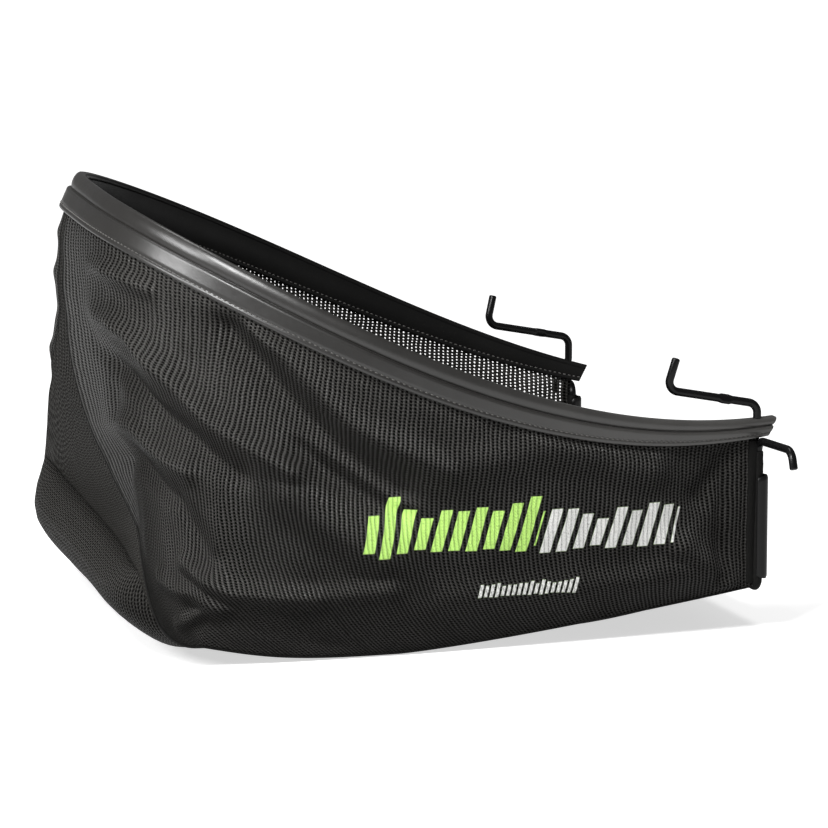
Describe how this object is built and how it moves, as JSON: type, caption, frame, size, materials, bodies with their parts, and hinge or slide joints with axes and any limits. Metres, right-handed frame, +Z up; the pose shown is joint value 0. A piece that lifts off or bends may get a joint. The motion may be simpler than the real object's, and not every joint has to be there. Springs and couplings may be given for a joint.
{
  "type": "grass catcher",
  "caption": "Open-mouthed black mesh bag for a push reel mower, hung from a bent steel rod inside a plastic rim channel, with hooks on top, side arms and a rod along its front edge.",
  "frame": {"origin": "on the ground, at the middle of the flat spot under the bag's floor", "axes": "+X out of the open mouth, towards the mower; +Y to the bag's left side; +Z up"},
  "size_m": [0.4808, 0.5174, 0.3247],
  "materials": {
    "black_steel": "satin black coating",
    "black_plastic": "smooth, soft sheen",
    "black_mesh_cloth": "knitted mesh with small holes",
    "black_binding": "folded cloth",
    "clip_plastic": "satin"
  },
  "bodies": {
    "root": {"top_frame_rod": "black_steel", "front_frame_rod": "black_steel", "rim_channel": "black_plastic", "right_side_panel": "black_mesh_cloth", "left_side_panel": "black_mesh_cloth", "rear_panel": "black_mesh_cloth", "floor_panel": "black_mesh_cloth", "right_edge_sleeve": "black_binding", "left_edge_sleeve": "black_binding", "floor_hem_sleeve": "black_binding", "right_edge_clip": "clip_plastic", "left_edge_clip": "clip_plastic"}
  },
  "joints": []
}
